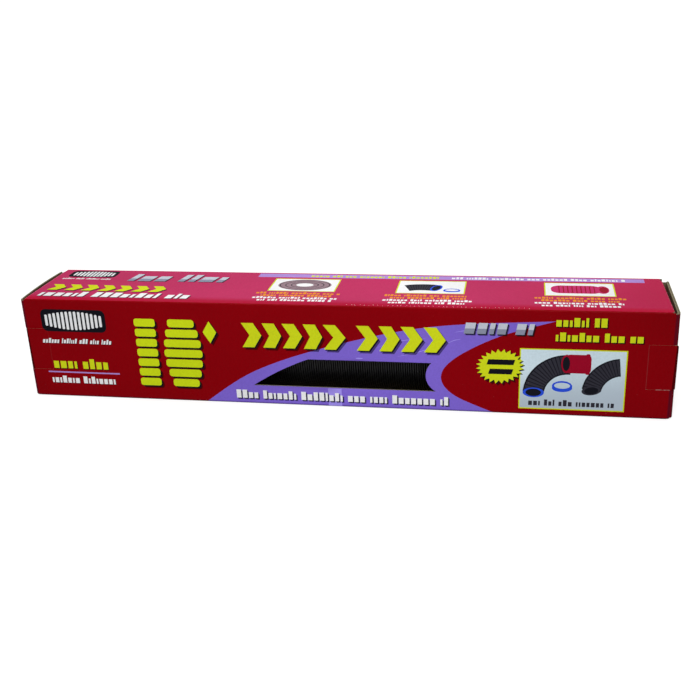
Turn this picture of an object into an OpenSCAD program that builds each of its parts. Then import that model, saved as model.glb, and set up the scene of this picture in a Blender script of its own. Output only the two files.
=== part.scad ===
// Compressible drain hose with its sizing rings, in the windowed tuck-end carton it is kept in.
// Frame: origin under the middle of the carton on the surface it stands on, +X along the
// carton to its right end, +Y to the back, +Z up. All sizes are in millimetres.

/* [Hose] */
// Inside diameter of the hose and of its cuffs
bore_d = 76.2; // [60:0.1:90]
// Thickness of the packed vinyl under the ribs
skin_t = 2.4; // [1.5:0.1:4]
// Height of a rib above the packed vinyl
rib_h = 3; // [1:0.1:5]
// Length of the ribbed stretch as it is stored, pushed together
ribbed_len = 518; // [300:1:700]
// Number of ribs on the ribbed stretch
rib_count = 200; // [80:1:200]
// Diameter of the steel wire
wire_d = 1.5; // [0.8:0.1:2.5]
// Number of turns of the steel wire
wire_turns = 26; // [8:1:30]
// Room between the wire and the inside of the hose
wire_gap = 0.3; // [0.2:0.05:1]

/* [Cuffs and sizing rings] */
// Length of each plain cuff
cuff_len = 33; // [26:1:60]
// Wall of the cuff
cuff_wall = 2.2; // [1:0.1:4]
// Length of a sizing ring inside the cuff
ring_len = 20.5; // [10:0.5:25]
// Wall of a sizing ring
ring_wall = 2.6; // [1.5:0.1:5]
// Thickness of the rim that stops a sizing ring at the cuff's mouth
rim_t = 1.5; // [1:0.1:3]
// Height of that rim above the ring
rim_h = 1.8; // [1:0.1:2.1]
// Room between a sizing ring and its cuff
ring_gap = 0.05; // [0.02:0.01:0.3]

/* [Carton] */
// Thickness of the corrugated board
board = 1.6; // [1:0.1:3]
// Room between the hose and the bottom panel
rest_gap = 0.3; // [0.2:0.1:2]
// Room between the hose and the top panel
head_gap = 10.5; // [4:0.5:20]
// Room between the hose and the front or back panel
side_gap = 3.9; // [2.8:0.1:10]
// Room between the hose and a closed dust flap
end_gap = 7.1; // [2:0.1:20]
// Outer radius of the folds along the carton and of the dust flaps
edge_r = 2.2; // [1.8:0.1:3]
// Outer radius of the folds of the end flaps and tuck lips
fold_r = 3; // [2.4:0.1:5]
// Height of the glued seam flap above the bottom panel
seam_h = 24; // [12:1:40]
// How far each end of the seam flap stops short of the panels' ends
seam_inset = 16; // [16:1:40]

/* [End flaps] */
// Room between the closed dust flaps and the end flap's fold
flap_gap = 1.4; // [0.3:0.1:3]
// How far the end flap bows outwards at its middle
flap_bow = 2.2; // [0.5:0.1:4]
// How far the tuck lip's fold stands out past the front fold
flap_lean = 1; // [0:0.1:2]
// Trim of the end flap at its top and bottom edges
flap_trim = 1.2; // [0.5:0.1:4]
// Length of the tuck lip
lip_len = 15; // [10:0.5:15.5]
// Room that the tuck lip's swing leaves at the back panel
lip_clear = 0.4; // [0.3:0.1:2]
// Turn of the tuck lip for each turn of its end flap
lip_ratio = 0.15; // [0:0.01:0.3]
// Cut of the tuck lip's corners
lip_cut = 8; // [2:0.5:12]

/* [Dust flaps] */
// Gap left between the tips of the two dust flaps
dust_meet = 9; // [2:1:40]
// Turn of a dust flap for each turn of its end flap
dust_ratio = 0.75; // [0.5:0.01:0.75]
// Room between a dust flap's root and the front panel
dust_front = 1.4; // [0.6:0.1:4]
// Room between a dust flap's root and the tuck lip
dust_back = 2.4; // [1:0.1:8]
// Inward slope of a dust flap's back edge over its length
dust_slope = 3; // [0:0.5:10]
// Cut of a dust flap's corners
dust_cut = 5; // [1:0.5:10]

/* [Lock tabs] */
// Length of a lock tab from its score to its free end
tab_len = 24.9; // [15:0.1:40]
// Height of a lock tab
tab_h = 42.5; // [20:0.5:60]
// How far a lock tab stands out past the end flap's front fold
tab_proud = 1.9; // [0.5:0.1:3]
// Width of the cut around a lock tab
tab_cut = 0.3; // [0.2:0.05:1]

/* [Window] */
// Height of the window's lower edge above the table
window_z = 19.2; // [12:0.1:40]
// Height of the window
window_h = 28.5; // [15:0.5:45]
// Distance from the carton's middle to the window's left tip
window_left = 78.2; // [60:0.1:150]
// Distance from the carton's middle to the window's right end, which the bay cuts back
window_right = 98; // [60:0.1:150]
// Run of the sloping left edge
window_run = 54.5; // [20:0.5:60]
// Bulge of the sloping left edge
window_bulge = 1.8; // [0.5:0.1:4]
// Radius of the round bay in the window's right edge
bay_r = 17.8; // [17:0.1:40]
// Depth of the round bay from the window's right end
bay_depth = 11.5; // [4:0.1:14]
// Height of the bay's middle above the window's lower edge
bay_z = 15.8; // [10:0.1:20]

/* [Hidden] */

sides = 8;          // sides of the hose and of the wire's turns
wire_sides = 6;     // sides of the wire itself
arc_fn = 64;        // facets of arcs where they are only displayed
arc_steps = 8;      // steps of an arc in a drawn outline
over = 1;           // how far cutting shapes run past what they cut
score = 45;         // each fold is split between its two panels at this angle

bore_r = bore_d / 2;
root_r = bore_r + skin_t;
crest_r = root_r + rib_h;
hose_len = ribbed_len + 2 * cuff_len;
hose_half = hose_len / 2 + rim_t;

depth = 2 * (crest_r + side_gap + board);
height = 2 * crest_r + rest_gap + head_gap + 2 * board;
hose_z = board + rest_gap + crest_r;

// x of the dust flaps' outer face, which is where the back panel ends
tube_half = hose_half + end_gap + board;
// x and y of the front fold's centre, and x of the end flap's outer face at that fold
fold_x = tube_half + flap_gap + board - fold_r;
fold_y = -depth / 2 + fold_r;
flap_x = fold_x + fold_r;
// x and y of the hinge line of an end flap, on the outside of its fold
hinge_x = fold_x + fold_r * cos(score);
hinge_y = fold_y - fold_r * sin(score);

// the tuck lip's tip swings out by this much towards the back panel while the end flap opens
lip_swing = pow(lip_len * (1 + lip_ratio), 2) / (2 * (depth - board));
lip_y = floor(20 * (depth / 2 - board - lip_swing - lip_clear)) / 20;
lip_fold_x = fold_x + flap_lean;
lip_fold_y = lip_y - fold_r;

// chord, radius and centre of the bowed end flap's outer face, and the bow's half angle
chord = [lip_fold_x + fold_r - flap_x, lip_fold_y - fold_y];
bow_r = arc_radius(norm(chord), flap_bow);
bow_c = [flap_x, fold_y] + chord / 2 + [-chord[1], chord[0]] / norm(chord) * (bow_r - flap_bow);
bow_half = asin(norm(chord) / 2 / bow_r);
bow_mid = atan2(-chord[0], chord[1]);

dust_len = (height - dust_meet) / 2;
dust_y0 = -depth / 2 + board + dust_front;
dust_y1 = lip_y - board - dust_back;

tab_x = flap_x + tab_proud - tab_len;
tab_y = -depth / 2;
tab_z = (height - tab_h) / 2 - 0.65;
// how far back the notch in the end flap reaches, so that the flap clears the lock tab as it opens
tab_end = [tab_x + tab_len - hinge_x, max(hinge_y - tab_y, tab_y + board - hinge_y)];
notch_y = hinge_y + norm(tab_end) + tab_cut;

echo(str("outer carton ", 2 * flap_x, " x ", depth, " x ", height, " mm"));
echo(str("end flap hinge x ", hinge_x, " y ", hinge_y));
echo(str("tuck lip hinge x ", lip_fold_x + fold_r * cos(score), " y ", lip_fold_y + fold_r * sin(score)));
echo(str("dust flap hinge x ", tube_half - edge_r + edge_r * cos(score), " z ",
  height - edge_r + edge_r * sin(score), " and ", edge_r - edge_r * sin(score)));
echo(str("lock tab hinge x ", tab_x, " y ", tab_y, ", notch to y ", notch_y));

print_red = "#8c0a12";
top_red = "#b02848";
board_tan = "#b9a283";
vinyl_black = "#1b1b1d";
steel_grey = "#9a9da0";
ring_blue = "#2147d6";

// ---- folds and panels ----

// Runs a profile drawn in Y and Z along X, centred
module along_x(len) {
  rotate([90, 0, 90]) translate([0, 0, -len / 2]) linear_extrude(len) children();
}

module rounded(w, h, r) {
  translate([-w / 2 + r, 0]) square([w - 2 * r, h]);
  translate([-w / 2, r]) square([w, h - 2 * r]);
  for (sx = [-1, 1], z = [r, h - r])
    translate([sx * (w / 2 - r), z]) circle(r, $fn = arc_fn);
}

// The carton's four walls in section
module wall_section() {
  difference() {
    rounded(depth, height, edge_r);
    translate([0, board]) rounded(depth - 2 * board, height - 2 * board, edge_r - board);
  }
}

// The stretch of that section from one long fold's middle to the next
module wall_part(len, points) {
  along_x(len) intersection() {
    wall_section();
    polygon(points);
  }
}

// Quarter of a fold, half of a right angle, from angle a, standing h high
module fold_half(r, h, a) {
  rotate([0, 0, a]) rotate_extrude(angle = score, $fn = arc_fn)
    translate([r - board, 0]) square([board, h]);
}

// The top or bottom panel's share of a dust flap's fold, or the flap's own, lying along Y
module dust_fold(a) {
  translate([tube_half - edge_r, dust_y1, height - edge_r])
    rotate([90, 0, 0]) fold_half(edge_r, dust_y1 - dust_y0, a);
}

module both_ends() {
  children();
  mirror([1, 0, 0]) children();
}

module upside_down() {
  translate([0, 0, height]) mirror([0, 0, 1]) children();
}

corner = edge_r + over;
out = over;

// Radius of the arc that bulges by h over a chord
function arc_radius(len, h) = (len * len / 4 + h * h) / (2 * h);

// Points along an arc from angle a to angle b
function arc(c, r, a, b) = [
  for (i = [0 : arc_steps]) let (t = a + (b - a) * i / arc_steps) c + r * [cos(t), sin(t)]
];

function inside(list) = [for (i = [1 : len(list) - 2]) list[i]];

function reversed(list) = [for (i = [len(list) - 1 : -1 : 0]) list[i]];

// ---- window ----

module window_shape() {
  tip = [-window_left, window_z];
  peak = [-window_left + window_run, window_z + window_h];
  run = peak - tip;
  len = norm(run);
  r = arc_radius(len, window_bulge);
  middle = (tip + peak) / 2 + [run[1], -run[0]] / len * (r - window_bulge);
  difference() {
    union() {
      polygon([tip, peak, [window_right, peak[1]], [window_right, window_z]]);
      intersection() {
        translate(middle) circle(r, $fn = 4 * arc_fn);
        translate(tip) square([window_run, window_h]);
      }
    }
    translate([window_right - bay_depth + bay_r, window_z + bay_z]) circle(bay_r, $fn = arc_fn);
  }
}

// Cuts through the front panel, drawn in X and Z
module through_front() {
  translate([0, -depth / 2 + board + over, 0]) rotate([90, 0, 0])
    linear_extrude(board + 2 * over) children();
}

module tab_hole() {
  through_front()
    translate([tab_x, tab_z - tab_cut]) square([tab_len + over, tab_h + 2 * tab_cut]);
}

// ---- carton panels ----

module front_panel() {
  color(print_red) difference() {
    union() {
      wall_part(2 * fold_x, [
        [-depth / 2 - out, -out], [-depth / 2 + corner, corner],
        [-depth / 2 + corner, height - corner], [-depth / 2 - out, height + out]
      ]);
      both_ends() translate([fold_x, fold_y, flap_trim])
        fold_half(fold_r, height - 2 * flap_trim, -90);
    }
    both_ends() tab_hole();
    through_front() window_shape();
  }
}

module flat_panel() {
  wall_part(2 * (tube_half - edge_r), [
    [-depth / 2 - out, height + out], [-depth / 2 + corner, height - corner],
    [depth / 2 - corner, height - corner], [depth / 2 + out, height + out]
  ]);
  both_ends() dust_fold(score);
}

module top_panel() {
  color(top_red) flat_panel();
}

module bottom_panel() {
  color(print_red) upside_down() flat_panel();
}

module back_panel() {
  color(print_red) wall_part(2 * tube_half, [
    [depth / 2 + out, -out], [depth / 2 - corner, corner],
    [depth / 2 - corner, height - corner], [depth / 2 + out, height + out]
  ]);
}

// Strip glued inside the back panel, from the inside of the long fold upwards
module seam_flap() {
  seam_x = tube_half - seam_inset;
  color(board_tan) translate([0, depth / 2 - board, 0]) rotate([90, 0, 0]) linear_extrude(board)
    polygon([
      [-seam_x, edge_r], [seam_x, edge_r],
      [seam_x - seam_h / 2, board + seam_h], [-seam_x + seam_h / 2, board + seam_h]
    ]);
}

// ---- right-hand flaps; the left-hand ones mirror them ----

// One face of an end flap in plan: its share of the front fold, the bow, its share of the lip's
// fold. The outer face has d = 0 and the inner face d = board.
function flap_face(d) = concat(
  arc([fold_x, fold_y], fold_r - d, -score, 0),
  inside(arc(bow_c, bow_r - d, bow_mid - bow_half, bow_mid + bow_half)),
  arc([lip_fold_x, lip_fold_y], fold_r - d, 0, score)
);

module end_flap() {
  h = height - 2 * flap_trim;
  color(print_red) difference() {
    translate([0, 0, flap_trim]) linear_extrude(h)
      polygon(concat(flap_face(0), reversed(flap_face(board))));
    // notch that the lock tab stands through
    translate([fold_x, tab_y - over, tab_z - tab_cut])
      cube([2 * fold_r, notch_y - tab_y + over, tab_h + 2 * tab_cut]);
  }
}

module tuck_lip() {
  z0 = 2 * flap_trim;
  z1 = height - 2 * flap_trim;
  tip = flap_x + flap_lean - lip_len;
  c = [lip_fold_x, lip_fold_y];
  color(board_tan) intersection() {
    linear_extrude(height) polygon(concat(
      arc(c, fold_r, score, 90), [[tip, lip_y], [tip, lip_y - board]],
      arc(c, fold_r - board, 90, score)
    ));
    translate([0, lip_y + over, 0]) rotate([90, 0, 0]) linear_extrude(2 * fold_r) polygon([
      [flap_x + fold_r, z0], [flap_x + fold_r, z1], [tip + lip_cut, z1], [tip, z1 - lip_cut],
      [tip, z0 + lip_cut], [tip + lip_cut, z0]
    ]);
  }
}

// Its front edge slopes back, so that it stays inside the end flap while both open together
module top_dust_flap() {
  root = height - edge_r;
  tip = height - dust_len;
  front = dust_y0 + (dust_ratio + 0.01) * dust_len;
  back = dust_y1 - dust_slope;
  color(board_tan) {
    dust_fold(0);
    translate([tube_half - board, 0, 0]) rotate([90, 0, 90]) linear_extrude(board) polygon([
      [dust_y0, root], [dust_y1, root], [back, tip + dust_cut], [back - dust_cut, tip],
      [front + dust_cut, tip], [front - (dust_ratio + 0.01) * dust_cut, tip + dust_cut]
    ]);
  }
}

module bottom_dust_flap() {
  upside_down() top_dust_flap();
}

module lock_tab() {
  color(print_red) translate([tab_x, tab_y, tab_z]) cube([tab_len, board, tab_h]);
}

// ---- hose ----

// One ring of points around the hose's axis whose flats lie at radius r
function ring(x, r) = [
  for (k = [0 : sides - 1])
    let (a = 360 * (k + 0.5) / sides, c = r / cos(180 / sides))
      [x, c * cos(a), hose_z + c * sin(a)]
];

function flatten(lists) = [for (l = lists) for (v = l) v];

// Triangles between ring i and ring j of n points each
function band(i, j, n) = flatten([
  for (k = [0 : n - 1])
    let (a = i * n + k, b = i * n + (k + 1) % n, c = j * n + k, d = j * n + (k + 1) % n)
      [[a, b, c], [b, d, c]]
]);

module hose_skin() {
  pitch = ribbed_len / rib_count;
  outer = [
    for (i = [0 : 2 * rib_count])
      ring(-ribbed_len / 2 + i * pitch / 2, i % 2 == 0 ? root_r : crest_r)
  ];
  bore = [ring(ribbed_len / 2, bore_r), ring(-ribbed_len / 2, bore_r)];
  rings = concat(outer, bore);
  count = len(rings);
  color(vinyl_black) polyhedron(
    points = flatten(rings),
    faces = flatten([for (i = [0 : count - 1]) band(i, (i + 1) % count, sides)])
  );
}

// The wire's middle line: a straight end along the hose, the turns, and a straight end
wire_r = wire_d / 2;
turn_r = (bore_r - wire_gap - wire_r) / cos(180 / sides);
wire_half = ribbed_len / 2 - 2 * wire_d;
function turn_point(i) =
  let (a = 360 * (i + 0.5) / sides)
    [-wire_half + 2 * wire_half * i / (wire_turns * sides), turn_r * cos(a), hose_z + turn_r * sin(a)];
turn_points = [for (i = [0 : wire_turns * sides]) turn_point(i)];
wire_path = concat(
  [turn_points[0] - [2 * wire_d, 0, 0]],
  turn_points,
  [turn_points[wire_turns * sides] + [2 * wire_d, 0, 0]]
);

// Least room between one turn of the wire and the next
function least(list, i = 0, best = 1e9) = i == len(list) ? best : least(list, i + 1, min(best, list[i]));
wire_room = least([
  for (i = [0 : 3 * sides], j = [i + sides / 2 : i + 2 * sides])
    if (j < len(turn_points)) norm(turn_points[i] - turn_points[j]) - wire_d
]);
echo(str("least gap of the wire to itself ", wire_room, " mm"));

function unit(v) = v / norm(v);

// One ring of the wire at point i of its path, square to the path there
function wire_ring(i) =
  let (
    last = len(wire_path) - 1,
    before = unit(wire_path[max(i, 1)] - wire_path[max(i, 1) - 1]),
    after = unit(wire_path[min(i, last - 1) + 1] - wire_path[min(i, last - 1)]),
    t = unit(before + after),
    p = wire_path[i],
    spoke = unit([0, p[1], p[2] - hose_z]),
    u = unit(spoke - t * (spoke * t)),
    v = cross(t, u)
  )
    [for (k = [0 : wire_sides - 1]) p + wire_r * (u * cos(360 * k / wire_sides) + v * sin(360 * k / wire_sides))];

module wire_helix() {
  count = len(wire_path);
  sides_all = flatten([for (i = [0 : count - 2]) band(i, i + 1, wire_sides)]);
  end = (count - 1) * wire_sides;
  caps = flatten([
    for (k = [1 : wire_sides - 2]) [[0, k + 1, k], [end, end + k, end + k + 1]]
  ]);
  color(steel_grey) polyhedron(
    points = flatten([for (i = [0 : count - 1]) wire_ring(i)]),
    faces = [for (f = concat(sides_all, caps)) [f[0], f[2], f[1]]]
  );
}

// A tube along the hose's axis from x0, len long
module sleeve(x0, len, inner, outer) {
  translate([x0, 0, hose_z]) rotate([0, 90, 0]) difference() {
    cylinder(len, r = outer, $fn = 2 * arc_fn);
    translate([0, 0, -over]) cylinder(len + 2 * over, r = inner, $fn = 2 * arc_fn);
  }
}

module cuff() {
  color(vinyl_black) sleeve(ribbed_len / 2, cuff_len, bore_r, bore_r + cuff_wall);
}

module sizing_ring() {
  ring_r = bore_r - ring_gap;
  color(ring_blue) {
    sleeve(hose_len / 2 - ring_len, ring_len + rim_t, ring_r - ring_wall, ring_r);
    sleeve(hose_len / 2, rim_t, ring_r - over, ring_r + rim_h);
  }
}

front_panel();
top_panel();
back_panel();
bottom_panel();
seam_flap();
end_flap();  // right_end_flap
tuck_lip();  // right_tuck_lip
top_dust_flap();  // right_top_dust_flap
bottom_dust_flap();  // right_bottom_dust_flap
lock_tab();  // right_lock_tab
mirror([1, 0, 0]) end_flap();  // left_end_flap
mirror([1, 0, 0]) tuck_lip();  // left_tuck_lip
mirror([1, 0, 0]) top_dust_flap();  // left_top_dust_flap
mirror([1, 0, 0]) bottom_dust_flap();  // left_bottom_dust_flap
mirror([1, 0, 0]) lock_tab();  // left_lock_tab
hose_skin();
wire_helix();
cuff();  // right_cuff
mirror([1, 0, 0]) cuff();  // left_cuff
sizing_ring();  // right_sizing_ring
mirror([1, 0, 0]) sizing_ring();  // left_sizing_ring
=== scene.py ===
import bisect
import math
import random

import bmesh
import bpy
from mathutils import Matrix, Vector
from mathutils.geometry import delaunay_2d_cdt


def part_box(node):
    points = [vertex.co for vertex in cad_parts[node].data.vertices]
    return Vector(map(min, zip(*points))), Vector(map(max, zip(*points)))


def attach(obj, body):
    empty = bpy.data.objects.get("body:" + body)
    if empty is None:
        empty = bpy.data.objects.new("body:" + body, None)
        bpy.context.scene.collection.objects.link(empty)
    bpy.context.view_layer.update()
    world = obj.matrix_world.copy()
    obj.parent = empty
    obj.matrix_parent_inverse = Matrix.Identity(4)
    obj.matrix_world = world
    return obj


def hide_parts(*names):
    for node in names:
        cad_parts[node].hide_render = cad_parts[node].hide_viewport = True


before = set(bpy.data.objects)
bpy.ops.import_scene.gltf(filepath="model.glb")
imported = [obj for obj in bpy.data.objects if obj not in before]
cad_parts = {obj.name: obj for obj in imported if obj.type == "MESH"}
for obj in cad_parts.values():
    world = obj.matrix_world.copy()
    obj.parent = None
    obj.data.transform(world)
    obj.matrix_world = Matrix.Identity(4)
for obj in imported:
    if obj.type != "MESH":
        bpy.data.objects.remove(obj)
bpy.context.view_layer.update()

MM = 0.001              # a millimetre, in metres


def box_of(node):
    """The lowest and the highest corner of a solid, in millimetres."""
    return [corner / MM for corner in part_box(node)]


# Measured on the solids; these and all sizes below are in millimetres
panel_low, panel_high = box_of("front_panel")
back_high = box_of("back_panel")[1]
flap_low, flap_high = box_of("right_end_flap")
lip_low, lip_high = box_of("right_tuck_lip")
dust_low, dust_high = box_of("right_top_dust_flap")
tab_low, tab_high = box_of("right_lock_tab")
seam_low, seam_high = box_of("seam_flap")
skin_low, skin_high = box_of("hose_skin")
cuff_low, cuff_high = box_of("right_cuff")
ring_low, ring_high = box_of("right_sizing_ring")

BOARD = tab_high.y - tab_low.y          # thickness of the corrugated board
FLUTE = 3.4                             # pitch of its flutes
HEIGHT = box_of("top_panel")[1].z
FRONT = panel_low.y
BACK = back_high.y
TUBE = back_high.x                      # where the four long walls end
UP = HEIGHT / 2                         # half the height, and half the depth
DEEP = (BACK - FRONT) / 2
MIDDLE_Y = (FRONT + BACK) / 2

HALF_TURN = math.pi / 4                 # each fold is shared between its two panels
EDGE_R = 1.1                            # outside radius of the folds along the carton
DUST_R = 2.2                            # of the dust flaps' folds
FOLD_R = 3.0                            # and of the folds of end flaps and lips
EDGE_LEN = EDGE_R * HALF_TURN           # a panel's share of each, round the outside
DUST_LEN = DUST_R * HALF_TURN
CREASE_LEN = FOLD_R * HALF_TURN
FOLD_X = panel_high.x - FOLD_R * math.sin(HALF_TURN)    # where the front wall's end folds start
FOLD_Y = FRONT + FOLD_R
FLAP_X = FOLD_X + FOLD_R
LIP_X = flap_high.x - FOLD_R            # what a lip's fold turns about
LIP_Y = lip_high.y - FOLD_R
DUST_X = TUBE - DUST_R                  # where a dust flap's fold starts
NOTCH_Y = -44.907                       # how far back the end flap is notched for its tab
HAIR = 0.001                            # points this close to a fold line count as on it

HOSE_Z = (skin_low.z + skin_high.z) / 2
BORE = 38.1                             # radius inside the hose
RING_BORE = 35.45                       # and inside a sizing ring
RIBS = 240                              # ribs of the hose, and turns of its wire
RIB_HIGH = 3.0


# ---- camera, light and floor ----

WHITE = (1.0, 1.0, 1.0)
AMBIENT = 0.45          # light that comes from all round
FLOOR = 0.40            # how much light the floor gives back
FLOOR_LIFT = 0.70       # what lifts the floor to white where it is seen


def camera():
    """Looks at the carton's front and top from a little right of its middle."""
    data = bpy.data.cameras.new("camera")
    data.sensor_width = 36.0
    data.lens = 49.28
    data.clip_start = 0.01
    data.clip_end = 200.0
    eye = bpy.data.objects.new("camera", data)
    right = Vector((0.98466854, 0.17039728, -0.0373181))
    up = Vector((-0.02899496, 0.37084327, 0.92824273))
    back = right.cross(up)
    turn = Matrix((right, up, back)).transposed().to_4x4()
    eye.matrix_world = Matrix.Translation((0.16894, -0.85765, 0.38598)) @ turn
    bpy.context.scene.collection.objects.link(eye)
    bpy.context.scene.camera = eye


def sun(name, strength, azimuth, elevation, softness):
    """A distant lamp. Azimuth 0 shines from the front, 90 from the right."""
    data = bpy.data.lights.new(name, "SUN")
    data.energy = strength
    data.angle = math.radians(softness)
    lamp = bpy.data.objects.new(name, data)
    a, e = math.radians(azimuth), math.radians(elevation)
    towards = Vector((math.sin(a) * math.cos(e), -math.cos(a) * math.cos(e), math.sin(e)))
    lamp.rotation_mode = "QUATERNION"
    lamp.rotation_quaternion = towards.to_track_quat("Z", "Y")
    bpy.context.scene.collection.objects.link(lamp)


class Shade:
    """A socket of a node tree. Arithmetic on it adds Math nodes."""

    def __init__(self, tree, socket=None):
        self.tree = tree
        self.socket = socket

    def node(self, kind, settings=None, sockets=None, out=0):
        """Adds a node: its settings first, then the values or links of its sockets."""
        made = self.tree.nodes.new(kind)
        for name, value in (settings or {}).items():
            setattr(made, name, value)
        for name, value in (sockets or {}).items():
            if isinstance(value, Shade):
                self.tree.links.new(value.socket, made.inputs[name])
            elif isinstance(value, tuple) and len(value) == 3 and made.inputs[name].type == "RGBA":
                made.inputs[name].default_value = (*value, 1.0)
            else:
                made.inputs[name].default_value = value
        return Shade(self.tree, made.outputs[out])

    def math(self, operation, *values):
        return self.node("ShaderNodeMath", {"operation": operation}, dict(enumerate(values)))

    def __add__(self, other):
        return self.math("ADD", self, other)

    def __sub__(self, other):
        return self.math("SUBTRACT", self, other)

    def __rsub__(self, other):
        return self.math("SUBTRACT", other, self)

    def __mul__(self, other):
        return self.math("MULTIPLY", self, other)

    def __abs__(self):
        return self.math("ABSOLUTE", self)

    __radd__ = __add__
    __rmul__ = __mul__

    def sine(self):
        return self.math("SINE", self)

    def most(self, other):
        return self.math("MAXIMUM", self, other)

    def ramp(self, low, high):
        """0 below low, 1 above high and smooth between; low may be above high."""
        return self.node("ShaderNodeMapRange", {"interpolation_type": "SMOOTHSTEP"},
                         {"Value": self, "From Min": low, "From Max": high})

    def near(self, place, width):
        """1 where this value is at place, and 0 from width away."""
        return abs(self - place).ramp(width, 0.0)

    def tint(self, low, high):
        """Colour low where this value is 0 and high where it is 1."""
        return self.node("ShaderNodeMix", {"data_type": "RGBA"}, {"Factor": self, 6: low, 7: high}, out=2)

    def axes(self):
        return [self.node("ShaderNodeSeparateXYZ", sockets={0: self}, out=i) for i in range(3)]

    def noise(self, scale, detail=3.0, roughness=0.5):
        return self.node("ShaderNodeTexNoise", {"noise_dimensions": "3D"},
                         {"Vector": self, "Scale": scale, "Detail": detail, "Roughness": roughness})

    def stretched(self, *factors):
        return self.node("ShaderNodeVectorMath", {"operation": "MULTIPLY"}, {0: self, 1: factors})


def finish_of(name):
    """A new material: its tree with the place on the object, and what sets its main shader."""
    made = bpy.data.materials.new(name)
    made.use_nodes = True
    tree = made.node_tree
    shader = next(n for n in tree.nodes if n.type == "BSDF_PRINCIPLED")
    place = Shade(tree).node("ShaderNodeTexCoord", out=3)

    def put(**sockets):
        for label, value in sockets.items():
            socket = shader.inputs[label.replace("_", " ")]
            if isinstance(value, Shade):
                tree.links.new(value.socket, socket)
            elif isinstance(value, tuple):
                socket.default_value = (*value, 1.0)
            else:
                socket.default_value = value

    return made, place, put


def bumped(place, height, distance, strength=1.0):
    """The normal over a relief, with its depth in metres."""
    return place.node("ShaderNodeBump", None,
                      {"Height": height, "Distance": distance, "Strength": strength})


def whites(base):
    """1 for rays that show the white surroundings: seen, mirrored or passed through."""
    seen = base.node("ShaderNodeLightPath", out=0)
    mirrored = base.node("ShaderNodeLightPath", out=3)
    return seen.most(mirrored).most(base.node("ShaderNodeLightPath", out=6))


def surface(tree, kind, mixed):
    """Gives a tree its output."""
    output = tree.nodes.new(kind)
    tree.links.new(mixed.socket, output.inputs["Surface"])


def studio():
    """White surroundings that light the object at a plain level."""
    world = bpy.data.worlds.new("studio")
    bpy.context.scene.world = world
    world.use_nodes = True
    world.node_tree.nodes.clear()
    base = Shade(world.node_tree)
    soft = base.node("ShaderNodeBackground", None, {"Color": WHITE, "Strength": AMBIENT})
    white = base.node("ShaderNodeBackground", None, {"Color": WHITE, "Strength": 1.0})
    mixed = base.node("ShaderNodeMixShader", None, {0: whites(base), 1: soft, 2: white})
    surface(world.node_tree, "ShaderNodeOutputWorld", mixed)


def floor():
    """A wide white floor that keeps the object's shadow."""
    reach, sink = 60.0, 0.0003
    mesh = bpy.data.meshes.new("floor")
    corners = [(x * reach, y * reach, -sink) for x, y in ((-1, -1), (1, -1), (1, 1), (-1, 1))]
    mesh.from_pydata(corners, [], [(0, 1, 2, 3)])
    paint = bpy.data.materials.new("floor_paint")
    paint.use_nodes = True
    paint.node_tree.nodes.clear()
    base = Shade(paint.node_tree)
    dull = base.node("ShaderNodeBsdfDiffuse", None, {"Color": (FLOOR, FLOOR, FLOOR)})
    lit = base.node("ShaderNodeEmission", None, {"Color": WHITE, "Strength": FLOOR_LIFT})
    both = base.node("ShaderNodeAddShader", None, {0: dull, 1: lit})
    mixed = base.node("ShaderNodeMixShader", None, {0: whites(base), 1: dull, 2: both})
    surface(paint.node_tree, "ShaderNodeOutputMaterial", mixed)
    mesh.materials.append(paint)
    ground = bpy.data.objects.new("floor", mesh)
    bpy.context.scene.collection.objects.link(ground)


bpy.context.scene.view_settings.view_transform = "Standard"
camera()
studio()
floor()
sun("key", 2.0, -6.0, 50.0, 35.0)
sun("back", 0.7, 180.0, 35.0, 60.0)


# ---- finishes ----

PAPER = (0.74, 0.70, 0.66)      # bare liner that shows where print has worn off
# DUSK also sets the painted shade at a lock tab's curled end.
DUSK = 0.30                     # how dark print is in a printed shadow
STRAY = 0.22                    # how far a print's tone strays either way
VARNISH = 0.04                  # weight of the dull varnish over print


def scaled(colour, factor):
    return tuple(min(1.0, c * factor) for c in colour)


def board_waves(x, other):
    """The faint washboard that flutes leave on a liner."""
    return (x * (2 * math.pi / (FLUTE * MM)) + other * 0.6).sine()


def ink(name, colour, wear=None, tone_and_light=None, tone_and_light_colour=None):
    """Thin print under a dull varnish. wear gives where creases have rubbed it off, and the mask after it
    where
    the print turns to a second colour: painted shade and painted sheen on the carton's walls, a printed
    tone in the front picture. Its tone drifts in clouds and specks, and darkens towards the carton's ends
    as painted shade."""
    made, place, put = finish_of(name)
    x, y, z = place.axes()
    cloud = place.noise(9.0, 4.0)
    speck = place.noise(700.0, 2.0)
    fibre = place.noise(160.0, 3.0, 0.6)
    # Painted shade: the - x * x term darkens every print towards both ends of the carton, where the light
    # falls off.
    depth = cloud.ramp(0.3, 0.7) * 0.25 + speck.ramp(0.25, 0.75) * 0.22 - x * x * 5.0 + 0.46
    base = depth.tint(scaled(colour, 1 - STRAY), scaled(colour, 1 + STRAY))
    if tone_and_light:
        base = tone_and_light(x, y, z).tint(base, tone_and_light_colour)
    rub = place.noise(420.0, 4.0, 0.65).ramp(0.70, 0.78) * 0.10
    if wear:
        rub = rub.most(wear(x, y, z, place))
    put(Base_Color=rub.tint(base, PAPER))
    put(Roughness=fibre * 0.12 + rub * 0.3 + 0.32)
    put(Coat_Weight=VARNISH - rub * VARNISH, Coat_Roughness=0.2, Specular_IOR_Level=0.0)
    relief = board_waves(x, z) * 0.5 + cloud * 2.0 + fibre * 0.35
    put(Normal=bumped(place, relief, 0.00004, 0.7))
    return made


def ragged(place, mask, amount):
    """Breaks a worn line into uneven flecks."""
    patch = place.noise(330.0, 4.0, 0.7)
    return mask * patch.ramp(0.62 - amount, 0.72 - amount * 0.6)


def within(value, low, high, soft=1.0):
    """1 between low and high, both in millimetres."""
    return value.ramp((low - soft) * MM, low * MM) * value.ramp((high + soft) * MM, high * MM)


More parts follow.
